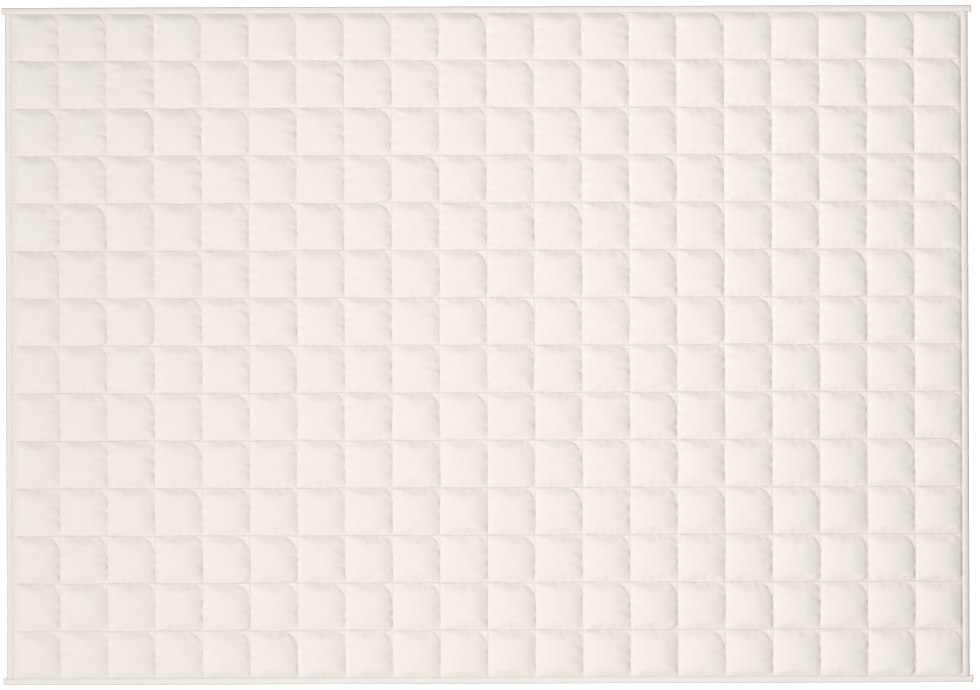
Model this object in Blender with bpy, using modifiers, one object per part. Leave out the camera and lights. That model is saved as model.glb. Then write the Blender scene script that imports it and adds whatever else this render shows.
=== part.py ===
"""A weighted blanket, 2.0 m by 1.4 m, lying flat.

Two cotton cloths are stitched together in a grid of square pockets, each filled with
wadding and beads, and four strips of tape bind the edges. X runs along the length and
Y across the width. The origin is at the middle of the blanket, on the surface that it
lies on.
"""

import random

import bmesh
import bpy
from mathutils import Vector

# Driving sizes, in metres.
LENGTH = 2.000  # over the side tapes, along X
WIDTH = 1.408  # over the head and foot tapes, along Y
COLUMNS = 20  # pockets along X
ROWS = 14  # pockets along Y
PITCH = 0.0987  # from one stitched line to the next

# Heights above the surface that the blanket lies on.
SEAM_UNDER = 0.0045  # lower cloth at a stitched line
SEAM_OVER = 0.0075  # upper cloth at a stitched line
POCKET_RISE = 0.0100  # crown of a pocket above its stitched lines
BINDING_THICKNESS = 0.0060

# Plan sizes of a pocket.
SHOULDER = 0.015  # from a stitched line to the pocket's shoulder, on the upper cloth
SOLE_INSET = 0.014  # from a stitched line to the part of a pocket that lies flat
UNEVEN_RISE = 0.09  # share by which a pocket is fuller or slacker than the rest
UNEVEN_CROWN = 0.006  # how far a crown wanders from the middle of its pocket

# Tape that binds the edges.
BINDING_WIDTH = 0.014
TAPE = 0.0014  # one wall of the folded tape
FIT = 0.0004  # clearance between the tape and the cloth inside it
PIECE_CLEARANCE = 0.0003  # between neighbouring pieces
HEM_THICKNESS = BINDING_THICKNESS - 2 * TAPE - 2 * FIT
HEM_UNDER = TAPE + FIT
EAR = 0.0074  # how far the head and foot tapes run on past the side tapes
EAR_EXTRA = 0.0026  # how much wider a tape is at its ear
EAR_SHOULDER = 0.0010  # length over which the tape widens
EAR_CORNER = 0.0035  # radius of an ear's corners
FOLD_RADIUS = 0.0012  # rounding of the tape's folded edges

# Half sizes that the pieces share.
HALF_LENGTH = LENGTH / 2
HALF_WIDTH = WIDTH / 2
QUILT_X = HALF_LENGTH - BINDING_WIDTH  # outermost stitched lines
QUILT_Y = HALF_WIDTH - BINDING_WIDTH
HEM_REACH = BINDING_WIDTH - TAPE - FIT  # cloth inside the tape, past that line

COTTON = (0.85, 0.80, 0.74, 1.0)
TAPE_COTTON = (0.87, 0.83, 0.78, 1.0)
OBJECT_NAME = "weighted_blanket"


def clear_scene():
    for obj in list(bpy.data.objects):
        bpy.data.objects.remove(obj)


def new_collection(name):
    collection = bpy.data.collections.new(name)
    bpy.context.scene.collection.children.link(collection)
    return collection


def cloth_material(name, colour):
    material = bpy.data.materials.new(name)
    material.use_nodes = True
    shader = material.node_tree.nodes["Principled BSDF"]
    shader.inputs["Base Color"].default_value = colour
    shader.inputs["Roughness"].default_value = 0.9
    shader.inputs["Metallic"].default_value = 0.0
    return material


def object_from(bm, name, collection, material=None):
    mesh = bpy.data.meshes.new(name)
    bm.to_mesh(mesh)
    bm.free()
    obj = bpy.data.objects.new(name, mesh)
    collection.objects.link(obj)
    if material:
        mesh.materials.append(material)
    return obj


def smoothstep(share):
    share = min(max(share, 0.0), 1.0)
    return share * share * (3 - 2 * share)


def pocket_of(x, y):
    """The column and row of the pocket that holds this point, and the shares of the way across it."""
    across = min(max(x / PITCH + COLUMNS / 2, 0.0), COLUMNS - 1e-6)
    up = min(max(y / PITCH + ROWS / 2, 0.0), ROWS - 1e-6)
    return int(across), int(up), across % 1, up % 1


def fullness_and_crown(column, row):
    """How full a pocket is, near 1, and where its crown lies from its middle."""
    draw = random.Random(column * ROWS + row)
    fullness = 1 + draw.uniform(-UNEVEN_RISE, UNEVEN_RISE)
    crown = Vector((draw.uniform(-1, 1), draw.uniform(-1, 1), 0)) * UNEVEN_CROWN
    return fullness, crown


def swell(share):
    """A pocket's profile from one stitched line, 0, to the next, 1: steep at the seams, domed on top."""
    return (1 - abs(2 * share - 1) ** 2.4) ** 0.7


def from_edge(x, y):
    """Share of the way from the outermost stitched line to the next, where the cloth has left the hem."""
    return smoothstep(min(QUILT_X - abs(x), QUILT_Y - abs(y)) / PITCH)


def upper_height(x, y):
    column, row, across, up = pocket_of(x, y)
    fullness, _ = fullness_and_crown(column, row)
    hem_over = HEM_UNDER + HEM_THICKNESS
    seam = hem_over + (SEAM_OVER - hem_over) * from_edge(x, y)
    on_edge = abs(x) >= QUILT_X - 1e-6 or abs(y) >= QUILT_Y - 1e-6
    return seam if on_edge else seam + POCKET_RISE * fullness * swell(across) * swell(up)


def pocket_grid():
    """A flat grid with one face a pocket, its outermost lines drawn in to the edge of the tape."""
    bm = bmesh.new()
    bmesh.ops.create_grid(bm, x_segments=COLUMNS, y_segments=ROWS, size=0.5)
    bmesh.ops.scale(bm, vec=(COLUMNS * PITCH, ROWS * PITCH, 1), verts=bm.verts)
    for vert in bm.verts:
        vert.co.x = min(max(vert.co.x, -QUILT_X), QUILT_X)
        vert.co.y = min(max(vert.co.y, -QUILT_Y), QUILT_Y)
    return bm


def edge_loop(bm):
    return [edge for edge in bm.edges if edge.is_boundary]


def add_hem(bm, height):
    """Runs the cloth on, level, from the outermost stitched line to its cut edge inside the tape."""
    made = bmesh.ops.extrude_edge_only(bm, edges=edge_loop(bm))
    for vert in [v for v in made["geom"] if isinstance(v, bmesh.types.BMVert)]:
        if abs(vert.co.x) >= QUILT_X - 1e-6:
            vert.co.x += HEM_REACH if vert.co.x > 0 else -HEM_REACH
        if abs(vert.co.y) >= QUILT_Y - 1e-6:
            vert.co.y += HEM_REACH if vert.co.y > 0 else -HEM_REACH
        vert.co.z = height


def upper_cloth():
    """The face of the blanket: every pocket has eight points on its seams, eight on its shoulder and a crown."""
    bm = pocket_grid()
    pockets = list(bm.faces)
    bmesh.ops.bisect_edges(bm, edges=list(bm.edges), cuts=1)
    bmesh.ops.inset_individual(bm, faces=pockets, thickness=SHOULDER)
    crowns = bmesh.ops.poke(bm, faces=pockets)["verts"]
    for vert in bm.verts:
        vert.co.z = upper_height(vert.co.x, vert.co.y)
    for vert in crowns:
        column, row, _, _ = pocket_of(vert.co.x, vert.co.y)
        vert.co += fullness_and_crown(column, row)[1]
    add_hem(bm, HEM_UNDER + HEM_THICKNESS)
    return bm


def under_cloth():
    """The back of the blanket: each pocket lies flat on the surface, and its seams are drawn up."""
    bm = pocket_grid()
    pockets = list(bm.faces)
    bmesh.ops.bisect_edges(bm, edges=edge_loop(bm), cuts=1)
    for vert in bm.verts:
        vert.co.z = HEM_UNDER + (SEAM_UNDER - HEM_UNDER) * from_edge(vert.co.x, vert.co.y)
    bmesh.ops.inset_individual(bm, faces=pockets, thickness=SOLE_INSET)
    for vert in {v for face in pockets for v in face.verts}:
        vert.co.z = 0.0
    add_hem(bm, HEM_UNDER)
    bmesh.ops.reverse_faces(bm, faces=list(bm.faces))
    return bm


def quilted_panel(collection, material):
    """Both cloths with their filling, as one closed body."""
    bm = upper_cloth()
    lower = bpy.data.meshes.new("under_cloth")
    under = under_cloth()
    under.to_mesh(lower)
    under.free()
    bm.from_mesh(lower)
    bpy.data.meshes.remove(lower)
    bmesh.ops.bridge_loops(bm, edges=edge_loop(bm))
    bmesh.ops.recalc_face_normals(bm, faces=list(bm.faces))
    for face in bm.faces:
        face.smooth = True
    return object_from(bm, "quilted_panel", collection, material)


def box(low, high):
    """A closed box between two corners, made from Blender's cube."""
    bm = bmesh.new()
    low, high = Vector(low), Vector(high)
    bmesh.ops.create_cube(bm, size=1)
    bmesh.ops.scale(bm, vec=high - low, verts=bm.verts)
    bmesh.ops.translate(bm, vec=(low + high) / 2, verts=bm.verts)
    return bm


def widen_ends(bm, fold_side):
    """Gives a strip along X an ear at each end: a wider tab with rounded corners. Y runs from the lip, at 0."""
    start = HALF_LENGTH + PIECE_CLEARANCE
    for x in (-start - EAR_SHOULDER, -start, start, start + EAR_SHOULDER):
        everything = list(bm.verts) + list(bm.edges) + list(bm.faces)
        bmesh.ops.bisect_plane(bm, geom=everything, plane_co=(x, 0, 0), plane_no=(1, 0, 0))
    for vert in bm.verts:
        if abs(vert.co.x) > start + EAR_SHOULDER / 2 and abs(vert.co.y) < 1e-6:
            vert.co.y = -EAR_EXTRA * fold_side
    tip = HALF_LENGTH + EAR
    corners = [
        edge
        for edge in bm.edges
        if all(abs(abs(v.co.x) - tip) < 1e-6 for v in edge.verts)
        and abs(edge.verts[0].co.z - edge.verts[1].co.z) > BINDING_THICKNESS / 2
    ]
    bmesh.ops.bevel(bm, geom=corners, offset=EAR_CORNER, segments=3, profile=0.5, affect="EDGES")


def cut_slot(tape, low, high, cutters):
    slot = object_from(box(low, high), tape.name + "_slot", cutters)
    slot.matrix_world = tape.matrix_world
    slot.hide_render = True
    slot.display_type = "WIRE"
    cut = tape.modifiers.new("slot", "BOOLEAN")
    cut.operation = "DIFFERENCE"
    cut.object = slot


def round_folds(tape):
    fold = tape.modifiers.new("folded edges", "BEVEL")
    fold.width = FOLD_RADIUS
    fold.segments = 2
    fold.limit_method = "ANGLE"


def end_tape(name, side, collection, cutters, material):
    """The tape along the head (side 1) or the foot (side -1), whose ears run on past the side tapes."""
    tip = HALF_LENGTH + EAR
    folded = side * BINDING_WIDTH
    bm = box((-tip, min(0, folded), 0), (tip, max(0, folded), BINDING_THICKNESS))
    widen_ends(bm, side)
    tape = object_from(bm, name, collection, material)
    tape.location.y = side * QUILT_Y
    bpy.context.view_layer.update()
    round_folds(tape)
    mouth, floor = -side * EAR_EXTRA, side * (BINDING_WIDTH - TAPE)
    cut_slot(
        tape,
        (-HALF_LENGTH + TAPE / 2, min(mouth, floor), TAPE),
        (HALF_LENGTH - TAPE / 2, max(mouth, floor), BINDING_THICKNESS - TAPE),
        cutters,
    )


def side_tape(name, side, collection, cutters, material):
    """The tape along the right (side 1) or the left (side -1), from one end tape to the other."""
    reach = QUILT_Y - PIECE_CLEARANCE
    folded = side * BINDING_WIDTH
    bm = box((min(0, folded), -reach, 0), (max(0, folded), reach, BINDING_THICKNESS))
    tape = object_from(bm, name, collection, material)
    tape.location.x = side * QUILT_X
    bpy.context.view_layer.update()
    round_folds(tape)
    mouth, floor = -side * BINDING_WIDTH, side * (BINDING_WIDTH - TAPE)
    cut_slot(
        tape,
        (min(mouth, floor), -WIDTH, TAPE),
        (max(mouth, floor), WIDTH, BINDING_THICKNESS - TAPE),
        cutters,
    )


def build():
    clear_scene()
    blanket = new_collection(OBJECT_NAME)
    cutters = new_collection("cutters")
    cotton = cloth_material("quilted_cotton", COTTON)
    tape_cotton = cloth_material("binding_tape", TAPE_COTTON)
    quilted_panel(blanket, cotton)
    end_tape("binding_head", 1, blanket, cutters, tape_cotton)
    end_tape("binding_foot", -1, blanket, cutters, tape_cotton)
    side_tape("binding_right", 1, blanket, cutters, tape_cotton)
    side_tape("binding_left", -1, blanket, cutters, tape_cotton)


build()
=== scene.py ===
# %% [markdown]
# # A weighted blanket
#
# The real blanket is two cotton cloths, stitched through each other in a grid of square
# pockets. Wadding and beads fill each pocket, and a folded tape binds the edges. The
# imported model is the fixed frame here: it gives every size, and the pieces made below
# dress it. Each cell makes one piece or one finish and prints what it made.

import math
import random

import bmesh
import bpy
import numpy as np
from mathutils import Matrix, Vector
from mathutils.geometry import delaunay_2d_cdt


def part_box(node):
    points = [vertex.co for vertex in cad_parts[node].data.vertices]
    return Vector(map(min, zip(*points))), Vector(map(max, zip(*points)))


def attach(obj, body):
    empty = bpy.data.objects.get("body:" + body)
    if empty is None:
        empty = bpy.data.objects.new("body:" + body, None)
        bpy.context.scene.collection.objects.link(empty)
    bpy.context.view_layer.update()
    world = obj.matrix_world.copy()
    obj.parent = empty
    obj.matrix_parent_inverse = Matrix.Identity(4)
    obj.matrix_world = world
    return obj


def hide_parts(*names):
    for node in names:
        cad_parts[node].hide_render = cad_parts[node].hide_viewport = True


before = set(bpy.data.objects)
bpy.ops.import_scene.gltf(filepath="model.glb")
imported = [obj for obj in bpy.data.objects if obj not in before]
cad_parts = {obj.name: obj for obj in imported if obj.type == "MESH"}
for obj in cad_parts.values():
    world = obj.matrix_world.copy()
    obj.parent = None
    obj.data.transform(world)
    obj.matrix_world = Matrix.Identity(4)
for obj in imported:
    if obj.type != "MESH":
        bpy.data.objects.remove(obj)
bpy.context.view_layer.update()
print("frame:", sorted(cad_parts))

# %% [markdown]
# ## Sizes that the pieces share
#
# The tapes say where the outermost stitched lines are, because the cloth leaves the tape
# there. Dividing the span between those lines by the number of pockets gives the pitch of
# the quilting, so that the pockets fit the frame with no fitting by eye.

# %% Sizes from the frame
COLUMNS = 20
ROWS = 14
SECTIONS = 4
right_low, right_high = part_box("binding_right")
head_low, head_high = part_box("binding_head")
TAPE_WIDTH = right_high.x - right_low.x
TAPE_HEIGHT = right_high.z
SEAM_X = right_low.x
SEAM_Y = head_high.y - TAPE_WIDTH
PITCH = 2 * SEAM_X / COLUMNS
SQUARENESS = (2 * SEAM_Y / ROWS) / PITCH

MM = 0.001
TAPE_WALL = 0.0014
SLACK = 0.0004
HEM_SHARE = 0.62
HEM_REACH = HEM_SHARE * TAPE_WIDTH
HEM_UNDER = TAPE_WALL + SLACK
HEM_TOP = TAPE_HEIGHT - TAPE_WALL - SLACK
SEAM_TOP = 0.0065
SEAM_UNDER = 0.0045
NEAR = 0.1 * MM
print(f"pitch {PITCH / MM:.2f} mm, outermost seams at {SEAM_X:.4f} and {SEAM_Y:.4f} m")


# %% [markdown]
# ## The level of the stitched lines
#
# Stitching pulls the two cloths together half way up the filling. Next to a tape the face
# dives into the fold, over a reach that differs from side to side and is shortest at the
# right, while the back comes up to the hem over a whole pocket. A hand-guided seam is never
# quite straight either: a sum of long sine waves moves it, by less than a millimetre nearly
# everywhere and by 1.6 mm at most. Waves are smooth from one point to the next, which loose
# random numbers for each point would not be, and neighbouring pieces that read the same
# waves still meet.

# %% Seam level and wander
WANDER = 0.9 * MM
FACE_DIVE = (16 * MM, 7 * MM, 22 * MM, 14 * MM)
BACK_DIVE = (PITCH,) * 4
WAVES = 6
WAVE_TURNS = (12, 60)
WAVE_SEED = 7
draw = random.Random(WAVE_SEED)
WAVE_TABLE = [
    (draw.uniform(*WAVE_TURNS), draw.uniform(*WAVE_TURNS),
     draw.uniform(0, math.tau), draw.uniform(0, math.tau))
    for _ in range(2 * WAVES)
]


def smooth(share):
    """0 up to 0 and 1 from 1 on, with a soft step between them."""
    share = np.clip(share, 0.0, 1.0)
    return share * share * (3 - 2 * share)


def inward(x, y, reaches):
    """Share of the way in from the left, right, foot and head tape: 1 past the reach of each."""
    depths = SEAM_X + x, SEAM_X - x, SEAM_Y + y, SEAM_Y - y
    return smooth(np.minimum.reduce([depth / reach for depth, reach in zip(depths, reaches)]))


def waves(x, y, axis):
    """A slow wave over the blanket, mostly from -1 to 1. Each axis has waves of its own."""
    total = np.zeros_like(x)
    for along_x, along_y, phase_x, phase_y in WAVE_TABLE[axis * WAVES:(axis + 1) * WAVES]:
        total = total + np.sin(along_x * x + phase_x) * np.sin(along_y * y + phase_y)
    return total / math.sqrt(WAVES)


def lay(points, border, inside, reaches):
    """Lifts points to the seams' level, from border at the hem to inside, and makes them wander."""
    x, y = points[:, 0], points[:, 1]
    share = inward(x, y, BACK_DIVE)
    laid = points.copy()
    laid[:, 0] += WANDER * share * waves(x, y, 0)
    laid[:, 1] += WANDER * share * waves(x, y, 1)
    laid[:, 2] += border + (inside - border) * inward(x, y, reaches)
    return laid


# %% [markdown]
# ## The pattern of one pocket
#
# Cloth puckers finely where it is held and lies smooth where it is full, so the triangles
# are small at the stitched lines and grow towards the middle. Nested squares of points
# give that, and a Delaunay triangulation joins them. The points wander a little, because
# a regular mesh would make regular creases.


# %% Nested squares of points
TRIANGLES_INSIDE = 1
SAME_POINT = 1e-7


def nested_squares(side, insets, spacings, wander, seed):
    """Points on nested squares, the outermost one first, and how many points that one has."""
    scatter = random.Random(seed)
    points = []
    for inset, spacing in zip(insets, spacings):
        reach = side / 2 - inset
        count = max(2, round(2 * reach / spacing))
        shift = 0 if inset == 0 else wander * 2 * reach / count
        for corner in range(4):
            turn = corner * math.pi / 2
            for step in range(count):
                along = -reach + 2 * reach * step / count + scatter.uniform(-shift, shift)
                out = reach + scatter.uniform(-shift, shift)
                points.append((
                    along * math.cos(turn) + out * math.sin(turn),
                    along * math.sin(turn) - out * math.cos(turn),
                ))
        if inset == 0:
            rim = len(points)
    return points, rim


def triangulated(points, rim):
    """The points as Delaunay triangles inside their outermost square: places and faces."""
    border = [(i, (i + 1) % rim) for i in range(rim)]
    flat = [Vector(point) for point in points]
    made = delaunay_2d_cdt(flat, border, [], TRIANGLES_INSIDE, SAME_POINT)
    return np.array(made[0], float), np.array(made[2], int)


FACE_SPACING = 2.0 * MM
SPACING_GROWTH = 0.155
FIRST_INSET = 1.55 * MM
INSET_GROWTH = 0.125
BARE_MIDDLE = 5 * MM
POINT_WANDER = 0.12
insets = [0.0]
while insets[-1] < PITCH / 2 - BARE_MIDDLE:
    insets.append(insets[-1] + FIRST_INSET + INSET_GROWTH * insets[-1])
insets.pop()
spacings = [FACE_SPACING + SPACING_GROWTH * inset for inset in insets]
pocket_points, pocket_rim = nested_squares(PITCH, insets, spacings, POINT_WANDER, seed=3)
pocket_points.append((0.0, 0.0))
pattern, pattern_faces = triangulated(pocket_points, pocket_rim)
print(f"pocket pattern: {len(pattern)} points, {len(pattern_faces)} triangles,"
      f" {pocket_rim} points on its rim")

# %% [markdown]
# ## Pockets filled by a cloth simulation
#
# The rim of a real pocket is sewn down, and the filling pushes up the rest. The cloth is a
# little longer than the seams, which gathers it into soft folds along them. Each pocket
# starts as a dome with such folds, and Blender's Cloth settles it: the rim is pinned, the
# cloth grows a little, and pressure from below stands for the filling. The domes fall off
# more along the blanket than across it, because the maker filled long channels and closed
# them with the cross seams afterwards. A few dozen different pockets are simulated side by
# side, once.

# %% Pockets before they are filled
LIBRARY = 48
POCKETS_A_ROW = 8
START_RISE = 9.5 * MM
START_UNEVEN = 0.10
SEAM_DIP = 0.8 * MM
DIP_REACH = 1.2 * MM
FLANK_SLOPE = 0.5
CREST = 0.54
RAMP_FROM = 0.55
SIDE_FALL = 1.09
END_FALL = 0.22
END_POWER = 2.5
ROUNDING = 4
TINY = 1e-16
GATHER_RISE = 0.6 * MM
GATHER_SHARE = (0.2, 1.0)
GATHER_REACH = 12 * MM
GATHER_SPACING = (19 * MM, 34 * MM)
END_GATHER = 0.2
WRINKLE_RISE = 0.08 * MM
WRINKLE_TURNS = (150, 500)
WRINKLES = 24
ON_RIM = 0.01 * MM


def lower_of(a, b):
    """The lower of two heights, with the crease between them rounded."""
    return a * b / (a**ROUNDING + b**ROUNDING + TINY) ** (1 / ROUNDING)


def hump(distance, reach):
    """0 up to no distance, 1 at the reach, and slowly down to 0 past it."""
    share = np.maximum(distance, 0) / reach
    return share * np.exp(1 - share)


def unfilled_pocket(number):
    """Heights of one pocket before it is filled."""
    scatter = np.random.default_rng(number)
    x, y = pattern[:, 0], pattern[:, 1]
    u, v = x / PITCH + 0.5, y / PITCH + 0.5
    dome = START_RISE * scatter.uniform(1 - START_UNEVEN, 1 + START_UNEVEN) - SEAM_DIP
    off = 2 * (u - CREST)
    ramp = np.maximum(-off - RAMP_FROM, 0)
    crown = dome * (1 - SIDE_FALL * (off**2 - ramp**2))
    crown = crown * (1 - END_FALL * np.abs(2 * v - 1) ** END_POWER)
    edge = PITCH * np.minimum(np.minimum(u, 1 - u), np.minimum(v, 1 - v))
    heights = lower_of(crown, FLANK_SLOPE * edge)
    heights = heights + SEAM_DIP * (1 - np.exp(-edge / DIP_REACH))
    for across, along, share in ((u, y, 1), (1 - u, y, 1),
                                 (v, x, END_GATHER), (1 - v, x, END_GATHER)):
        turn = math.tau / scatter.uniform(*GATHER_SPACING)
        wave = np.sin(turn * along + scatter.uniform(0, math.tau))
        wave = wave * scatter.uniform(*GATHER_SHARE) * share
        heights = heights + GATHER_RISE * wave * hump(across * PITCH, GATHER_REACH)
    wrinkle = np.zeros_like(x)
    for _ in range(WRINKLES):
        turn = scatter.uniform(*WRINKLE_TURNS)
        way = scatter.uniform(0, math.pi)
        phase = scatter.uniform(0, math.tau)
        wrinkle += np.sin(turn * (x * math.cos(way) + y * math.sin(way)) + phase)
    heights = heights + WRINKLE_RISE * wrinkle / math.sqrt(WRINKLES)
    return np.where(on_rim(pattern), 0, np.maximum(heights, 0))


def on_rim(points):
    return np.maximum(np.abs(points[:, 0]), np.abs(points[:, 1])) > PITCH / 2 - ON_RIM


def mesh_from(name, points, faces):
    mesh = bpy.data.meshes.new(name)
    mesh.from_pydata(points.tolist(), [], [list(map(int, face)) for face in faces])
    return mesh


def coordinates(mesh):
    """The mesh's points as an array that place() takes back."""
    points = np.empty(len(mesh.vertices) * 3, np.float32)
    mesh.vertices.foreach_get("co", points)
    return points.reshape(-1, 3).astype(float)


def place(mesh, points):
    mesh.vertices.foreach_set("co", points.astype(np.float32).ravel())
    mesh.update()


def add_object(name, data):
    """An object in the scene that shows a mesh, a light or a camera."""
    made = bpy.data.objects.new(name, data)
    bpy.context.scene.collection.objects.link(made)
    return made


def finished_mesh(thing):
    """The mesh that an object has once its modifiers have run."""
    depsgraph = bpy.context.evaluated_depsgraph_get()
    return bpy.data.meshes.new_from_object(thing.evaluated_get(depsgraph))


# %% Simulate a library of pockets
GROWTH = 0.004
PRESSURE = 30.0
BENDING = 5.0
SIMULATED_FRAMES = 12
POCKETS_APART = 1.2
RIM_GAP = 0.25 * MM


def filled_pockets():
    """Points of each pocket about its own middle, as an array of pocket, point and axis."""
    cells = np.array([(n % POCKETS_A_ROW, n // POCKETS_A_ROW, 0) for n in range(LIBRARY)])
    cells = cells * POCKETS_APART * PITCH
    pockets = np.stack([np.column_stack([pattern, unfilled_pocket(n)]) for n in range(LIBRARY)])
    faces = np.concatenate([pattern_faces + n * len(pattern) for n in range(LIBRARY)])
    mesh = mesh_from("pocket_library", (pockets + cells[:, None]).reshape(-1, 3), faces)
    cloth = add_object("pocket_library", mesh)
    pins = cloth.vertex_groups.new(name="pins")
    held = np.tile(on_rim(pattern), LIBRARY)
    pins.add([int(i) for i in np.flatnonzero(held)], 1.0, "REPLACE")
    simulation = cloth.modifiers.new("filling", "CLOTH")
    settings = simulation.settings
    settings.quality = 5
    settings.mass = 0.3
    settings.tension_stiffness = settings.compression_stiffness = 40
    settings.shear_stiffness = 5
    settings.bending_stiffness = BENDING
    settings.vertex_group_mass = pins.name
    settings.use_pressure = True
    settings.uniform_pressure_force = PRESSURE
    settings.shrink_min = -GROWTH
    settings.effector_weights.gravity = 0
    simulation.collision_settings.use_collision = False
    simulation.point_cache.frame_end = SIMULATED_FRAMES
    for step in range(1, SIMULATED_FRAMES + 1):
        bpy.context.scene.frame_set(step)
    pockets = coordinates(finished_mesh(cloth)).reshape(LIBRARY, -1, 3) - cells[:, None]
    bpy.data.objects.remove(cloth)
    bpy.context.scene.frame_set(1)
    return pockets


pockets = filled_pockets()
inside = ~on_rim(pattern)
limit = PITCH / 2 - RIM_GAP
pockets[:, inside, :2] = np.clip(pockets[:, inside, :2], -limit, limit)
pockets[:, ~inside] = np.column_stack([pattern[~inside], np.zeros((~inside).sum())])
crowns = pockets[:, :, 2].max(axis=1) / MM
print(f"library: {LIBRARY} pockets, crowns {crowns.min():.1f} to {crowns.max():.1f} mm,"
      f" lowest point {pockets[:, :, 2].min() / MM:.1f} mm")

# %% [markdown]
# ## Creased corners and knuckles
#
# The filling never reaches the corners of a pocket, so the cloth there lies flat and the
# filled part ends on an arc, in a short steep wall. The wall is widest at one corner,
# towards which the filling was not pushed. Along the sides the spare cloth folds into
# knuckles, each steep on one side and soft on the other. Both are added to the simulated
# shape, because a mesh fine enough to crease by itself would be too heavy.

# %% Creases
CORNER_SIDES = ((1, 1), (-1, 1), (-1, -1), (1, -1))
CORNER_ARCS = ((19 * MM, 35 * MM), (5 * MM, 12 * MM), (5 * MM, 11 * MM), (6 * MM, 16 * MM))
ARC_STRETCH = 1.15
ARC_POWER = 1.7
CORNER_RISE = 1.2 * MM
CORNER_WALL = 2.0 * MM
WALL_POWER = 1.5
CREASE_SEED = 1000
SIDE_KNUCKLES = (2, 3)
KNUCKLE_START = (0.05, 0.28)
KNUCKLE_RISE = (1.2 * MM, 2.3 * MM)
KNUCKLE_REACH = 11 * MM
KNUCKLE_WIDTH = (4.0 * MM, 6.5 * MM)
KNUCKLE_SPACING = (17 * MM, 28 * MM)
KNUCKLE_SLANT = (-0.6, 0.3)
END_KNUCKLES = (0, 2)
END_KNUCKLE_SHARE = 0.5


def inside_corners(x, y, arcs):
    """Distance inwards from the arc across each corner. It isn't above 0 in the flat corners."""
    clear = np.full_like(x, PITCH)
    for arc, (side_x, side_y) in zip(arcs, CORNER_SIDES):
        tall = arc * ARC_STRETCH
        off_x = np.maximum(side_x * x - (PITCH / 2 - arc), 0) / arc
        off_y = np.maximum(side_y * y - (PITCH / 2 - tall), 0) / tall
        out = (off_x**ARC_POWER + off_y**ARC_POWER) ** (1 / ARC_POWER)
        beyond = (off_x > 0) & (off_y > 0)
        clear = np.where(beyond, np.minimum(clear, (1 - out) * (arc + tall) / 2), clear)
    return clear


def knuckles(scatter, from_seam, along, count):
    """Folds square to a seam that end in a steep side: heights for one pocket."""
    folds = np.zeros_like(along)
    start = scatter.uniform(*KNUCKLE_START) * PITCH
    for _ in range(scatter.integers(count[0], count[1] + 1)):
        width = scatter.uniform(*KNUCKLE_WIDTH)
        slant = scatter.uniform(*KNUCKLE_SLANT)
        below = start + slant * from_seam - along
        rise = scatter.uniform(*KNUCKLE_RISE)
        folds += rise * hump(below, width) * hump(from_seam, KNUCKLE_REACH)
        start -= scatter.uniform(*KNUCKLE_SPACING)
    return folds


def creased(points, number):
    """A filled pocket with its flat corners and its knuckles."""
    scatter = np.random.default_rng(CREASE_SEED + number)
    x, y = pattern[:, 0], pattern[:, 1]
    arcs = [scatter.uniform(*reach) for reach in CORNER_ARCS]
    clear = inside_corners(x, y, arcs)
    heights = points[:, 2] + knuckles(scatter, PITCH / 2 - x, y, SIDE_KNUCKLES)
    heights = heights + END_KNUCKLE_SHARE * knuckles(scatter, PITCH / 2 - y, x, END_KNUCKLES)
    edge = PITCH / 2 - np.maximum(np.abs(x), np.abs(y))
    flat = np.minimum(heights, CORNER_RISE * (1 - np.exp(-edge / DIP_REACH)))
    wall = 1 - np.exp(-np.clip(clear / CORNER_WALL, 0, None) ** WALL_POWER)
    heights = np.where(on_rim(pattern), 0, flat + (heights - flat) * wall)
    return np.column_stack([points[:, :2], heights])


pockets = np.stack([creased(points, number) for number, points in enumerate(pockets)])
print(f"creased: crowns up to {pockets[:, :, 2].max() / MM:.1f} mm")

# %% [markdown]
# ## Values that can be added and multiplied
#
# A node tree is easier to read as a formula than as boxes and wires. The first class below
# wraps one socket, so that Python's own signs add the Math nodes. The second adds any other
# node. They write the Geometry Nodes and the materials alike.


# %% Node trees as Python expressions
MERGED_WITHIN = 0.05 * MM


class Value:
    """One output socket. Arithmetic on it adds Math nodes to its tree."""

    def __init__(self, graph, socket):
        self.graph = graph
        self.socket = socket

    def math(self, operation, *others):
        return self.graph.add("ShaderNodeMath", {"operation": operation}, [self, *others])

    def other(self, name):
        """Another output of the same node."""
        return Value(self.graph, self.socket.node.outputs[name])

    def __add__(self, other):
        return self.math("ADD", other)

    def __sub__(self, other):
        return self.math("SUBTRACT", other)

    def __mul__(self, other):
        return self.math("MULTIPLY", other)

    def __rsub__(self, other):
        return self.graph.add("ShaderNodeMath", {"operation": "SUBTRACT"}, [other, self])

    __radd__ = __add__


class Graph:
    """A node tree, with one method that adds any node to it."""

    def __init__(self, tree):
        self.tree = tree

    def add(self, kind, settings=None, sockets=(), output=0):
        """Adds a node with these settings, and a value or a link for each socket that is given."""
        node = self.tree.nodes.new(kind)
        for name, value in (settings or {}).items():
            setattr(node, name, value)
        pairs = sockets.items() if isinstance(sockets, dict) else enumerate(sockets)
        for key, value in pairs:
            self.wire(value, node.inputs[key])
        return Value(self, node.outputs[output]) if node.outputs else node

    def wire(self, value, socket):
        if isinstance(value, Value):
            self.tree.links.new(value.socket, socket)
        else:
            socket.default_value = value


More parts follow.
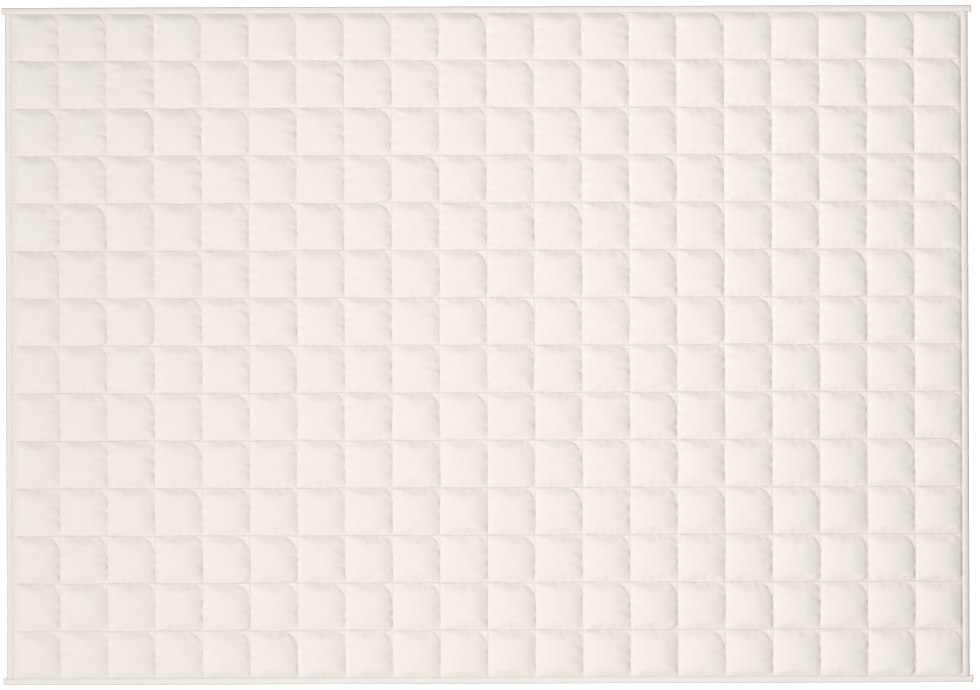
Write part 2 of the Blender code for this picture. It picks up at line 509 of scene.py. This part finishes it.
def geometry_tree(name, inputs):
    """A Geometry Nodes tree with the named inputs: the graph, and each input as a value."""
    tree = bpy.data.node_groups.new(name, "GeometryNodeTree")
    for way in ("OUTPUT", "INPUT"):
        tree.interface.new_socket(name="Geometry", in_out=way, socket_type="NodeSocketGeometry")
    for label, kind in inputs.items():
        tree.interface.new_socket(name=label, in_out="INPUT", socket_type="NodeSocket" + kind)
    graph = Graph(tree)
    entry = graph.add("NodeGroupInput")
    return graph, {label: entry.other(label) for label in ["Geometry", *inputs]}


def end_tree(graph, geometry, material):
    """Ends a tree as every tree here ends: real faces with their material."""
    whole = graph.add("GeometryNodeRealizeInstances", sockets={"Geometry": geometry})
    merged = graph.add("GeometryNodeMergeByDistance", sockets={
        "Geometry": whole,
        "Distance": MERGED_WITHIN,
    })
    dressed = graph.add("GeometryNodeSetMaterial", sockets={
        "Geometry": merged,
        "Material": material,
    })
    graph.add("NodeGroupOutput", sockets={"Geometry": dressed})


def grown(name, mesh, tree, values):
    """The plain mesh that a tree grows from a mesh."""
    source = add_object(name + "_source", mesh)
    modifier = source.modifiers.new(name, "NODES")
    modifier.node_group = tree
    sockets = {s.name: s.identifier for s in tree.interface.items_tree if s.in_out == "INPUT"}
    for label, value in values.items():
        modifier[sockets[label]] = value
    bpy.context.view_layer.update()
    result = finished_mesh(source)
    result.name = name
    bpy.data.objects.remove(source)
    return result


print("helpers for node trees are ready")

# %% [markdown]
# ## Cotton, in three finishes
#
# The quilt is a fine plain-weave cotton, matt and warm white, with the slight mottling of
# cloth over wadding. Its weave is a bump from crossed sine waves on the object's own
# coordinates, so it needs no unwrapping and has its real pitch everywhere. Shallow puckers
# finer than the mesh run square to the seams: noise that is drawn out across the seam and
# fades away from it. The tape is a heavier, whiter cloth with a diagonal rib, and the
# thread is a smooth twisted cotton.
#
# Two numbers that the meshes store at their points darken the cloth further, as painted
# shade. One, on the quilt, is painted shade in the valleys of the stitched lines; the other,
# on the tapes, is painted shade along the fold and at the ears.

# %% Materials
WEAVE_PITCH = 0.45 * MM
WEAVE_HEIGHT = 0.05
RIB_PITCH = 1.3 * WEAVE_PITCH
RIB_HEIGHT = 0.08
TWIST_PITCH = 0.3 * MM
QUILT_RELIEF = 0.8 * MM
TAPE_RELIEF = 0.7 * MM
THREAD_RELIEF = 0.05 * MM
PUCKER_REACH = 13 * MM
PUCKER_LONG = 60
PUCKER_FINE = 330
UPRIGHT_PUCKER = 0.9
LEVEL_PUCKER = 0.5
QUILT_CRUMPLE = 0.25
TAPE_CRUMPLE = 0.4
SHADE_MOTTLE = 0.6
SPECULAR = 0.25
COTTON = (0.800, 0.755, 0.712, 1.0)
COTTON_SHADE = (0.770, 0.724, 0.678, 1.0)
# Painted shade for the valleys of the stitched lines.
COTTON_SEAM_SHADE = (0.672, 0.629, 0.587, 1.0)
TAPE = (0.825, 0.778, 0.733, 1.0)
TAPE_SHADE = (0.795, 0.748, 0.700, 1.0)
# Painted shade for the tape's fold and ears.
TAPE_FOLD_SHADE = (0.590, 0.572, 0.553, 1.0)
THREAD = (0.660, 0.622, 0.575, 1.0)


def new_material(name, roughness, sheen):
    material = bpy.data.materials.new(name)
    material.use_nodes = True
    shader = material.node_tree.nodes["Principled BSDF"]
    shader.inputs["Roughness"].default_value = roughness
    shader.inputs["Sheen Weight"].default_value = sheen
    shader.inputs["Specular IOR Level"].default_value = SPECULAR
    return material, Graph(material.node_tree), shader


def object_coordinates(graph):
    """A point's place in the object, whole and as x, y and z."""
    vector = graph.add("ShaderNodeTexCoord", output="Object")
    x = graph.add("ShaderNodeSeparateXYZ", sockets=[vector])
    return vector, x, x.other("Y"), x.other("Z")


def noise(graph, vector, scale, detail):
    return graph.add("ShaderNodeTexNoise", sockets={
        "Vector": vector,
        "Scale": scale,
        "Detail": detail,
    })


def mixed(graph, share, first, second):
    """The first colour where the share is 0, and the second where it is 1."""
    return graph.add("ShaderNodeMix", {"data_type": "RGBA"}, {0: share, 6: first, 7: second},
                     output=2)


def two_tones(graph, vector, light, dark, scale):
    """Two near tones of the cloth, mixed by soft noise."""
    return mixed(graph, noise(graph, vector, scale, detail=3.0), light, dark)


def stored_number(graph, name):
    """A number that the mesh stores under this name at its points."""
    return graph.add("ShaderNodeAttribute", {"attribute_name": name}, output="Fac")


def coloured(graph, shader, colour):
    graph.wire(colour, shader.inputs["Base Color"])


def bumped(graph, shader, height, distance):
    """Feeds a height, in units of the distance, to the shader's normal."""
    bump = graph.add("ShaderNodeBump", sockets={
        "Strength": 1.0,
        "Distance": distance,
        "Height": height,
    })
    graph.wire(bump, shader.inputs["Normal"])


def weave(x, y):
    """A plain weave: threads that pass over and under each other, from about -1 to 1."""
    turn = math.tau / WEAVE_PITCH
    return (x * turn).math("SINE") * (y * turn).math("SINE")


def near_seam(along, pitch, reach):
    """1 on the stitched lines across this axis, falling to 0 at reach from them."""
    off = (along * (1 / pitch) + 0.5).math("FRACT") - 0.5
    return (1 - off.math("ABSOLUTE") * (pitch / reach)).math("MAXIMUM", 0.0)


def quilted_cotton():
    material, graph, shader = new_material("soft_cotton", roughness=0.92, sheen=0.08)
    vector, x, y, _ = object_coordinates(graph)
    unshaded = two_tones(graph, vector, COTTON, COTTON_SHADE, scale=22.0)
    # The stitched lines get painted shade, from the number that the quilt stores there.
    coloured(graph, shader, mixed(graph, stored_number(graph, "stitched"), unshaded, COTTON_SEAM_SHADE))
    puckers = []
    for scales, along, pitch in (
        ((PUCKER_LONG, PUCKER_FINE, PUCKER_LONG), x, PITCH),
        ((PUCKER_FINE, PUCKER_LONG, PUCKER_LONG), y, PITCH * SQUARENESS),
    ):
        stretched = graph.add("ShaderNodeVectorMath", {"operation": "MULTIPLY"}, [vector, scales])
        pucker = noise(graph, stretched, scale=1.0, detail=1.0)
        puckers.append((pucker - 0.5) * near_seam(along, pitch, PUCKER_REACH))
    crumple = noise(graph, vector, scale=260.0, detail=2.0)
    height = (puckers[0] * UPRIGHT_PUCKER + puckers[1] * LEVEL_PUCKER
              + crumple * QUILT_CRUMPLE + weave(x, y) * WEAVE_HEIGHT)
    bumped(graph, shader, height, QUILT_RELIEF)
    return material


def binding_cotton():
    material, graph, shader = new_material("twill_tape", roughness=0.88, sheen=0.10)
    vector, x, y, _ = object_coordinates(graph)
    unshaded = two_tones(graph, vector, TAPE, TAPE_SHADE, scale=60.0)
    shade_mottle = noise(graph, vector, scale=45.0, detail=2.0)
    # Painted shade along the fold and at the ears, mottled by noise.
    share = stored_number(graph, "fold_shade") * (SHADE_MOTTLE + shade_mottle * SHADE_MOTTLE)
    coloured(graph, shader, mixed(graph, share, unshaded, TAPE_FOLD_SHADE))
    rib = ((x + y) * (math.tau / RIB_PITCH)).math("SINE")
    crumple = noise(graph, vector, scale=180.0, detail=2.0)
    bumped(graph, shader, rib * RIB_HEIGHT + crumple * TAPE_CRUMPLE, TAPE_RELIEF)
    return material


def sewing_thread():
    material, graph, shader = new_material("cotton_thread", roughness=0.6, sheen=0.15)
    vector, x, y, z = object_coordinates(graph)
    coloured(graph, shader, two_tones(graph, vector, THREAD, COTTON_SHADE, scale=400.0))
    twist = ((x + y + z) * (math.tau / TWIST_PITCH)).math("SINE")
    bumped(graph, shader, twist, THREAD_RELIEF)
    return material


COTTON_FINISH = quilted_cotton()
TAPE_FINISH = binding_cotton()
THREAD_FINISH = sewing_thread()
print("finishes:", [m.name for m in (COTTON_FINISH, TAPE_FINISH, THREAD_FINISH)])

# %% [markdown]
# ## The tree that lays pockets side by side
#
# A quilt repeats one thing on a grid, which is what Geometry Nodes is for. The tree splits
# the library into its pockets, puts one on each point of a grid and makes each a little
# fuller or slacker. Merging the points that meet on the seams then turns the pockets into
# one cloth.


# %% Pocket grid tree
UNEVENNESS = 0.07


def pocket_grid_tree():
    graph, given = geometry_tree("pocket_grid", {
        "Columns": "Int",
        "Rows": "Int",
        "Pitch": "Float",
        "Middle X": "Float",
        "Library": "Int",
        "Unevenness": "Float",
        "Seed": "Int",
        "Material": "Material",
    })
    library = graph.add("GeometryNodeInputNamedAttribute", {"data_type": "INT"}, {"Name": "pocket"})
    kinds = graph.add("GeometryNodeSplitToInstances", {"domain": "FACE"},
                      {"Geometry": given["Geometry"], "Group ID": library})
    grid = graph.add("GeometryNodeMeshGrid", sockets={
        "Size X": (given["Columns"] - 1) * given["Pitch"],
        "Size Y": (given["Rows"] - 1) * given["Pitch"],
        "Vertices X": given["Columns"],
        "Vertices Y": given["Rows"],
    })
    shift = graph.add("ShaderNodeCombineXYZ", sockets={"X": given["Middle X"]})
    spots = graph.add("GeometryNodeTransform", sockets={"Geometry": grid, "Translation": shift})
    # Sockets 2 and 3 are the limits of a real number, 4 and 5 those of a whole one, 8 the seed.
    fullness = graph.add("FunctionNodeRandomValue", {"data_type": "FLOAT"}, {
        2: 1 - given["Unevenness"],
        3: 1 + given["Unevenness"],
        8: given["Seed"] + 1,
    }, output=1)
    scale = graph.add("ShaderNodeCombineXYZ", sockets={"X": 1.0, "Y": 1.0, "Z": fullness})
    pick = graph.add("FunctionNodeRandomValue", {"data_type": "INT"}, {
        4: 0,
        5: given["Library"] - 1,
        8: given["Seed"] + 2,
    }, output=2)
    laid = graph.add("GeometryNodeInstanceOnPoints", sockets={
        "Points": spots,
        "Instance": kinds,
        "Pick Instance": True,
        "Instance Index": pick,
        "Scale": scale,
    })
    end_tree(graph, laid, given["Material"])
    return graph.tree


def library_mesh(name, pockets, faces):
    """All pockets on top of each other, told apart by a number on their faces."""
    count, points = pockets.shape[:2]
    stacked = np.concatenate([faces + n * points for n in range(count)])
    mesh = mesh_from(name, pockets.reshape(-1, 3), stacked)
    number = mesh.attributes.new("pocket", "INT", "FACE")
    number.data.foreach_set("value", np.repeat(np.arange(count), len(faces)).astype(np.int32))
    return mesh


GRID_TREE = pocket_grid_tree()
face_library = library_mesh("face_pockets", pockets, pattern_faces)
print("tree", GRID_TREE.name, "and a library of", len(face_library.polygons), "triangles")

# %% [markdown]
# ## The underside of a pocket
#
# The filling presses the back cloth flat against whatever the blanket lies on, and the
# seams are drawn up from there, so the back is a grid of flat soles with narrow channels
# between them. It is hidden in use, and three nested squares of points are enough. Its
# rim has the same points as the face's, so that the two cloths can be joined edge to edge.

# %% Back pocket
SOLE_INSETS = (0.0, 3.5 * MM, 12.0 * MM)
SOLE_SPACINGS = (FACE_SPACING, 5.6 * MM, 9.0 * MM)
sole_points, sole_rim = nested_squares(PITCH, SOLE_INSETS, SOLE_SPACINGS, 0.0, seed=0)
sole, sole_faces = triangulated(sole_points, sole_rim)
from_rim = PITCH / 2 - np.maximum(np.abs(sole[:, 0]), np.abs(sole[:, 1]))
sole_drop = smooth(from_rim / SOLE_INSETS[-1])
soles = np.column_stack([sole, sole_drop])[None]
back_library = library_mesh("back_pockets", soles, sole_faces[:, ::-1])
print(f"back pocket: {len(sole_faces)} triangles")

# %% [markdown]
# ## The quilt, in four sections
#
# One mesh of the whole quilt would be too heavy to handle, so it is cut along three of its
# seams into sections of five columns. Each section is a closed body: face, back, and the
# flat hem that goes into the tape. Bridging the two border loops closes it. The edges of
# that bridge are sharp, because its upright faces would otherwise turn the shading of the
# cloth beside them into a dark line. Beside the tapes the pockets are slacker, most of all
# at the left.


# %% Quilt sections
SECTION_COLUMNS = COLUMNS // SECTIONS
QUILT_SHARP = 62
SLACK_REACH = 20 * MM
HEAD_SLACK = 0.08
FOOT_SLACK = 0.08
LEFT_SLACK = 0.35
RIGHT_SLACK = 0.20
# Painted shade on the upright stitched lines, as a share of that on the level ones.
UPRIGHT_SEAM_SHADE = 0.1


def fullness(x, y):
    """How full the pockets are: 1 inside, and less beside each tape, by that side's slack."""
    share = np.ones_like(x)
    for inwards, slack in ((SEAM_Y - y, HEAD_SLACK), (SEAM_Y + y, FOOT_SLACK),
                           (SEAM_X + x, LEFT_SLACK), (SEAM_X - x, RIGHT_SLACK)):
        share = share * (1 - slack * (1 - smooth(inwards / SLACK_REACH)))
    return share


def border(bm):
    """The edges along which the mesh is open."""
    return [edge for edge in bm.edges if edge.is_boundary]


def with_hem(mesh, height):
    """The cloth run on, level, past the outermost lines to its cut edge inside the tape."""
    bm = bmesh.new()
    bm.from_mesh(mesh)

    def outer(vert):
        return abs(vert.co.x) > SEAM_X - NEAR, abs(vert.co.y) > SEAM_Y - NEAR

    on_edge = [e for e in border(bm)
               if all(outer(v)[0] for v in e.verts) or all(outer(v)[1] for v in e.verts)]
    made = bmesh.ops.extrude_edge_only(bm, edges=on_edge)["geom"]
    for vert in [g for g in made if isinstance(g, bmesh.types.BMVert)]:
        out_x, out_y = outer(vert)
        vert.co.x += math.copysign(HEM_REACH, vert.co.x) * out_x
        vert.co.y += math.copysign(HEM_REACH, vert.co.y) * out_y
        vert.co.z = height
    return bm


def store_numbers(mesh, name, numbers):
    """Stores one number for each point, which the mesh's material reads by this name."""
    stored = mesh.attributes.new(name, "FLOAT", "POINT")
    stored.data.foreach_set("value", np.array(numbers, np.float32))


def off_lines(places, pockets_across):
    """How far places are from the nearest stitched line, while all lines are a pitch apart."""
    shift = 0.5 * (pockets_across % 2 == 0)
    return np.abs((places / PITCH + shift) % 1 - 0.5) * PITCH


def mark_seam_shade(mesh, points):
    """Stores painted shade for points on the stitched lines: most on the level lines."""
    on_upright = off_lines(points[:, 0], COLUMNS) < NEAR
    on_level = off_lines(points[:, 1], ROWS) < NEAR
    # Painted shade: full on the level lines, a share of it on the upright ones.
    store_numbers(mesh, "stitched", np.maximum(UPRIGHT_SEAM_SHADE * on_upright, on_level))


def laid_grid(name, library, middle, seed, count):
    """One section's cloth as a mesh, and its points with the rows fitted to the frame."""
    mesh = grown(name, library, GRID_TREE, {
        "Columns": SECTION_COLUMNS,
        "Rows": ROWS,
        "Pitch": PITCH,
        "Middle X": middle,
        "Library": count,
        "Unevenness": UNEVENNESS,
        "Seed": seed,
        "Material": COTTON_FINISH,
    })
    points = coordinates(mesh)
    mark_seam_shade(mesh, points)
    points[:, 1] *= SQUARENESS
    return mesh, points


def quilt_section(number):
    middle = (number - (SECTIONS - 1) / 2) * (SECTION_COLUMNS * PITCH)
    name = f"quilt_section_{number + 1}"
    face, points = laid_grid(name, face_library, middle, 10 * number + 1, LIBRARY)
    points[:, 2] *= fullness(points[:, 0], points[:, 1])
    place(face, lay(points, HEM_TOP, SEAM_TOP, FACE_DIVE))
    back, points = laid_grid("back", back_library, middle, 0, 1)
    drop = np.clip(points[:, 2], 0, 1)
    points = lay(points * (1, 1, 0), HEM_UNDER, SEAM_UNDER, BACK_DIVE)
    points[:, 2] *= 1 - drop
    place(back, points)
    lower = with_hem(back, HEM_UNDER)
    lower.to_mesh(back)
    lower.free()
    bm = with_hem(face, HEM_TOP)
    bm.from_mesh(back)
    rims = border(bm)
    bmesh.ops.bridge_loops(bm, edges=rims)
    bmesh.ops.recalc_face_normals(bm, faces=list(bm.faces))
    bm.edges.index_update()
    rims = [edge.index for edge in rims]
    bm.to_mesh(face)
    bm.free()
    bpy.data.meshes.remove(back)
    face.shade_smooth()
    face.set_sharp_from_angle(angle=math.radians(QUILT_SHARP))
    for index in rims:
        face.edges[index].use_edge_sharp = True
    return add_object(name, face)


sections = [quilt_section(number) for number in range(SECTIONS)]
for section in sections:
    loose = sum(1 for e in section.data.edges if e.is_loose)
    triangles = sum(len(p.vertices) - 2 for p in section.data.polygons)
    print(f"{section.name}: {triangles} triangles, {loose} loose edges")

# %% [markdown]
# ## Stitches
#
# Each seam is a lockstitch: a row of short threads lying in the valley between two pockets,
# on the face and on the back. A stitch is an eight-sided spindle, because there are
# thousands of them. The tree takes lines, marks a point on them for every stitch and lays
# a spindle along the line there, with its middle just outside the cloth.

# %% Stitch tree
STITCH_PITCH = 4.5 * MM
STITCH_LENGTH = 3.5 * MM
STITCH_THICKNESS = 0.7 * MM
LINE_STEP = 4 * MM
THREAD_LIFT = 0.08 * MM


def stitch_tree():
    graph, given = geometry_tree("stitch_rows", {
        "Stitch Pitch": "Float",
        "Stitch Length": "Float",
        "Thread": "Float",
        "Material": "Material",
    })
    lines = graph.add("GeometryNodeMeshToCurve", sockets={"Mesh": given["Geometry"]})
    holes = graph.add("GeometryNodeCurveToPoints", {"mode": "LENGTH"},
                      {"Curve": lines, "Length": given["Stitch Pitch"]})
    ball = graph.add("GeometryNodeMeshUVSphere", sockets={"Segments": 4, "Rings": 2, "Radius": 0.5})
    scale = graph.add("ShaderNodeCombineXYZ", sockets={
        "X": given["Thread"], "Y": given["Thread"], "Z": given["Stitch Length"],
    })
    spindle = graph.add("GeometryNodeTransform", sockets={"Geometry": ball, "Scale": scale})
    sewn = graph.add("GeometryNodeInstanceOnPoints", sockets={
        "Points": holes, "Instance": spindle, "Rotation": holes.other("Rotation"),
    })
    end_tree(graph, sewn, given["Material"])
    return graph.tree


def line_mesh(name, lines):
    """Loose polylines as one mesh of edges."""
    edges, start = [], 0
    for line in lines:
        edges += [(start + i, start + i + 1) for i in range(len(line) - 1)]
        start += len(line)
    mesh = bpy.data.meshes.new(name)
    mesh.from_pydata(np.concatenate(lines).tolist(), edges, [])
    return mesh


def straight(start, end):
    """A straight line as short steps."""
    count = max(2, round(math.dist(start, end) / LINE_STEP))
    return np.linspace(start, end, count + 1)


def sew(name, lines):
    """Rows of stitches along the lines, as one object."""
    mesh = grown(name, line_mesh(name + "_lines", lines), STITCH_TREE, {
        "Stitch Pitch": STITCH_PITCH,
        "Stitch Length": STITCH_LENGTH,
        "Thread": STITCH_THICKNESS,
        "Material": THREAD_FINISH,
    })
    mesh.shade_smooth()
    print(f"{name}: {len(lines)} lines, {len(mesh.polygons)} faces")
    return add_object(name, mesh)


def quilting_lines():
    """The stitched lines between the pockets, level, from one tape to the other."""
    upright = [(column - COLUMNS / 2) * PITCH for column in range(1, COLUMNS)]
    level = [(row - ROWS / 2) * PITCH * SQUARENESS for row in range(1, ROWS)]
    return ([straight((x, -SEAM_Y, 0), (x, SEAM_Y, 0)) for x in upright]
            + [straight((-SEAM_X, y, 0), (SEAM_X, y, 0)) for y in level])


STITCH_TREE = stitch_tree()
stitching_face = sew("stitching_face", [
    lay(line, HEM_TOP + THREAD_LIFT, SEAM_TOP + THREAD_LIFT, FACE_DIVE)
    for line in quilting_lines()
])
stitching_back = sew("stitching_back", [
    lay(line, HEM_UNDER - THREAD_LIFT, SEAM_UNDER - THREAD_LIFT, BACK_DIVE)
    for line in quilting_lines()
])

# %% [markdown]
# ## The binding tape
#
# The edge is bound with a strip of heavier cotton, folded over the hem and sewn through.
# The stitches press it down close to its lip. Beside them it stands up in a soft ridge,
# plump on some sides and nearly flat on others, before it rolls over the fold, and it
# ripples a little along the row of stitches. Painted shade darkens the fold, more on some
# sides than on others, and the tips and lips of the ears. Such a shape is lofted: one
# section is drawn once for each side, and its points are carried from station to station.
# At both ends of the head and foot tapes the lip steps inwards, the tape thins and the
# corners are round, which makes the small ears that stand past the side tapes.


# %% Folded tape
STATION = 4.5 * MM
EAR_STATION = 0.7 * MM
LAST_STATION = 0.05 * MM
EAR_TIP = head_high.x
EAR_START = right_high.x
EAR_EXTRA = SEAM_Y - head_low.y
EAR_STEP = 1.5 * MM
EAR_CORNER = 3.5 * MM
# How far from an ear's tip its painted shade reaches.
EAR_SHADE_REACH = 2.2 * MM
EAR_THIN = 0.45
EAR_THIN_REACH = 3 * MM
EAR_SINK = 0.25
LIP = 0.05
CLEARANCE = 0.3 * MM
RIPPLES = 8
RIPPLE_TURNS = (250, 900)
RIPPLE_RISE = 0.35 * MM
RIPPLE_REACH = 0.3
UPPER_CLOTH = 0.7
TAPE_SHARP = 50
SEWN_AT = 0.11
SEWN_FLAT = 0.87
SEWN_PLUMP = 0.94
PLUMP = {"head": 1.0, "foot": 0.35, "right": 1.0, "left": 0.1}
# How little of each tape's fold gets painted shade.
UNSHADED_FOLD = {"head": 0.4, "foot": 1.0, "right": 0.0, "left": 0.4}


def blend(flat, plump, share):
    return flat + (plump - flat) * share


def tape_section(plump, unshaded):
    """The fold's outline from the lip, over the top, round the fold and back, then inside.

    Each point is a share across, a share up, and how much painted shade the cloth has there.
    Plump says how far the ridge beside the stitches stands up, from 0 to 1, and the other
    argument how little of the fold gets the painted shade.
    """
    top = [(0.0, 0.76, 0.76, 0), (0.015, 0.82, 0.86, 0), (0.055, 0.85, 0.92, 0),
           (SEWN_AT, SEWN_FLAT, SEWN_PLUMP, 0), (0.17, 0.885, 1.03, 0), (0.25, 0.91, 1.07, 0),
           (0.34, 0.935, 1.055, 0), (0.43, 0.955, 1.025, 0), (0.54, 0.965, 0.97, 0),
           (0.66, 0.93, 0.895, 0.05)]
    fold = [(0.77, 0.86, 0.80, 0.3), (0.86, 0.72, 0.66, 0.8), (0.93, 0.53, 0.49, 1),
            (0.98, 0.36, 0.34, 1), (1.0, 0.22, 0.22, 1), (0.97, 0.10, 0.10, 1),
            (0.85, 0.0, 0.0, 0.3)]
    under = [(0.5, 0.0, 0), (0.2, 0.0, 0), (0.02, 0.03, 0), (0.0, 0.10, 0)]
    wall = TAPE_WALL / TAPE_HEIGHT
    slot = [(0.01, wall, 0), (0.5, wall, 0), (0.84, wall, 0), (0.84, 0.6, 0),
            (0.62, 1 - wall, 0), (0.01, 0.98 - wall, 0)]
    outside = [(u, blend(low, high, plump), max(0.0, shade_share * (1 + unshaded) - unshaded))
               for u, low, high, shade_share in top + fold]
    return outside + under + slot


def rounded_end(distance, corner):
    """How far a corner of this radius draws the edge in, at this distance from the end."""
    left = max(0.0, corner - distance)
    return corner - math.sqrt(max(0.0, corner * corner - left * left))


def tape_stations(reach, tip=None):
    """Places along the tape, closer together in the ears."""
    places = list(np.arange(-reach, reach, STATION)) + [reach]
    if tip:
        ear = [*np.arange(reach + EAR_STATION, tip, EAR_STATION), tip - LAST_STATION, tip]
        places = [-x for x in reversed(ear)] + places + ear
    return places


def tape_mesh(name, side, stations, tip, place_point, seed):
    """Lofts the folded section along the stations. place_point says where a point lies."""
    section = tape_section(PLUMP[side], UNSHADED_FOLD[side])
    scatter = random.Random(seed)
    sines = [(scatter.uniform(*RIPPLE_TURNS), scatter.uniform(0, math.tau)) for _ in range(RIPPLES)]
    points, fold_shade = [], []
    for along in stations:
        ripple = sum(math.sin(turn * along + phase) for turn, phase in sines) / math.sqrt(RIPPLES)
        to_tip = (tip - abs(along)) if tip else 1.0
        ear = smooth((abs(along) - EAR_START) / EAR_STEP) if tip else 0.0
        drawn = rounded_end(to_tip, EAR_CORNER) if tip else 0.0
        low = -EAR_EXTRA * ear + drawn
        high = TAPE_WIDTH - drawn
        thin = 1 - EAR_THIN * (1 - smooth(to_tip / EAR_THIN_REACH)) if tip else 1.0
        for u, v, shade_share in section:
            by_stitches = math.exp(-((u - SEWN_AT) / RIPPLE_REACH) ** 2)
            lift = RIPPLE_RISE * ripple * by_stitches * (v > UPPER_CLOTH)
            height = (0.5 + (v - 0.5) * thin) * TAPE_HEIGHT
            height = height - (1 - thin) * EAR_SINK * TAPE_HEIGHT + lift
            points.append(place_point(along, low + (high - low) * u, max(0.0, height)))
            # Painted shade along the fold, on the lip in the ears and at each ear's tip.
            fold_shade.append(max(shade_share, ear * (u < LIP), 1 - smooth(to_tip / EAR_SHADE_REACH)))
    ring, rings = len(section), len(stations)
    quads = []
    for start in range(0, (rings - 1) * ring, ring):
        for k in range(ring):
            here, beside = start + k, start + (k + 1) % ring
            quads.append((here, beside, beside + ring, here + ring))
    bm = bmesh.new()
    verts = [bm.verts.new(p) for p in points]
    for quad in quads:
        bm.faces.new([verts[i] for i in quad])
    bm.faces.new(verts[:ring])
    bm.faces.new(verts[-ring:])
    bmesh.ops.recalc_face_normals(bm, faces=list(bm.faces))
    mesh = bpy.data.meshes.new(name)
    bm.to_mesh(mesh)
    bm.free()
    store_numbers(mesh, "fold_shade", fold_shade)
    mesh.materials.append(TAPE_FINISH)
    mesh.shade_smooth()
    mesh.set_sharp_from_angle(angle=math.radians(TAPE_SHARP))
    return mesh


def tape(side, stations, tip, place_point, seed):
    name = side + "_tape"
    strip = add_object(name, tape_mesh(name, side, stations, tip, place_point, seed))
    print(f"{name}: {len(strip.data.polygons)} faces")
    return strip


end_stations = tape_stations(EAR_START, EAR_TIP)
side_stations = tape_stations(SEAM_Y - CLEARANCE)
tapes = {
    "binding_head": tape("head", end_stations, EAR_TIP, lambda s, w, z: (s, SEAM_Y + w, z), 1),
    "binding_foot": tape("foot", end_stations, EAR_TIP, lambda s, w, z: (s, -SEAM_Y - w, z), 2),
    "binding_right": tape("right", side_stations, None, lambda s, w, z: (SEAM_X + w, s, z), 3),
    "binding_left": tape("left", side_stations, None, lambda s, w, z: (-SEAM_X - w, s, z), 4),
}

# %% [markdown]
# ## The row of stitches that holds the tape
#
# One row runs along each tape, close to its lip. On the head and foot tapes it stops where
# the ears begin.

# %% Top stitching
far_x, far_y = EAR_START, SEAM_Y - CLEARANCE
row_x, row_y = SEAM_X + SEWN_AT * TAPE_WIDTH, SEAM_Y + SEWN_AT * TAPE_WIDTH
up = {side: blend(SEWN_FLAT, SEWN_PLUMP, plump) * TAPE_HEIGHT + THREAD_LIFT
      for side, plump in PLUMP.items()}
stitching_tape = sew("stitching_tape", [
    straight((-far_x, row_y, up["head"]), (far_x, row_y, up["head"])),
    straight((-far_x, -row_y, up["foot"]), (far_x, -row_y, up["foot"])),
    straight((row_x, -far_y, up["right"]), (row_x, far_y, up["right"])),
    straight((-row_x, -far_y, up["left"]), (-row_x, far_y, up["left"])),
])

# %% [markdown]
# ## What each piece stands for
#
# Every piece rides on the blanket's one body, and the quilt sections and the tapes hide
# the imported nodes that they replace. The quilt is filled cloth, and the tapes are
# folded lengthwise.

for section in sections:
    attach(section, "root")
    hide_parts("quilted_panel")
stitching = (stitching_face, stitching_back, stitching_tape)
for rows in stitching:
    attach(rows, "root")
for node, strip in tapes.items():
    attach(strip, "root")
    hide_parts(node)
    length = 2 * (EAR_TIP if node in ("binding_head", "binding_foot") else far_y)
print("declared", len(sections) + len(tapes) + len(stitching), "pieces")

# %% [markdown]
# ## Floor, light and camera
#
# A pale floor carries the blanket. It glows a little, so that it stays white. The key light
# is large, high and far beyond the left end, a little towards the foot, so every pocket has
# a shaded flank on the same side. Two panels above fill the shadows: one hangs right of the
# middle, towards the head, and one past the foot. The camera looks straight down from far
# away through a long lens, which keeps the seams parallel.

# %% Studio
WHITE = (1.0, 1.0, 1.0, 1.0)
FLOOR_SIZE = 30.0
FLOOR_DROP = 0.4 * MM
FLOOR_COLOUR = (0.97, 0.97, 0.97, 1.0)
FLOOR_GLOW = 0.45
LIGHTS = {
    "key": ((-9.0, -2.0, 12.0), 3.0, 1115.0),
    "panel_right": ((0.50, 1.0, 3.0), 1.5, 43.5),
    "panel_foot": ((0.05, -2.5, 4.0), 1.5, 69.5),
}
SKY = 0.1445
CAMERA_HEIGHT = 8.0
FRAME_WIDTH = 2.0356
SENSOR = 36.0
AIM_X = 5.8 * MM
AIM_Y = 0.1 * MM
ROLL = -0.0033


def floor():
    bm = bmesh.new()
    bmesh.ops.create_grid(bm, x_segments=1, y_segments=1, size=FLOOR_SIZE / 2)
    mesh = bpy.data.meshes.new("floor")
    bm.to_mesh(mesh)
    bm.free()
    material, _, shader = new_material("pale_floor", roughness=0.9, sheen=0.0)
    shader.inputs["Base Color"].default_value = FLOOR_COLOUR
    shader.inputs["Specular IOR Level"].default_value = 0.0
    shader.inputs["Emission Color"].default_value = WHITE
    shader.inputs["Emission Strength"].default_value = FLOOR_GLOW
    mesh.materials.append(material)
    ground = add_object("floor", mesh)
    ground.location.z = -FLOOR_DROP
    return ground


def area_light(name, location, size, power):
    """A square panel of light that faces the middle of the blanket."""
    lamp = bpy.data.lights.new(name, "AREA")
    lamp.shape = "SQUARE"
    lamp.size = size
    lamp.energy = power
    light = add_object(name, lamp)
    light.location = location
    light.rotation_euler = (-Vector(location)).to_track_quat("-Z", "Y").to_euler()


def sky(strength):
    world = bpy.data.worlds.new("white_sky")
    world.use_nodes = True
    background = world.node_tree.nodes["Background"]
    background.inputs["Color"].default_value = WHITE
    background.inputs["Strength"].default_value = strength
    bpy.context.scene.world = world


def camera():
    lens = bpy.data.cameras.new("camera")
    lens.sensor_width = SENSOR
    lens.lens = SENSOR * CAMERA_HEIGHT / FRAME_WIDTH
    view = add_object("camera", lens)
    view.location = (AIM_X, AIM_Y, CAMERA_HEIGHT)
    view.rotation_euler = (0.0, 0.0, ROLL)
    bpy.context.scene.camera = view


floor()
for name, (location, size, power) in LIGHTS.items():
    area_light(name, location, size, power)
sky(SKY)
camera()
bpy.context.scene.view_settings.view_transform = "Standard"
print("studio ready")
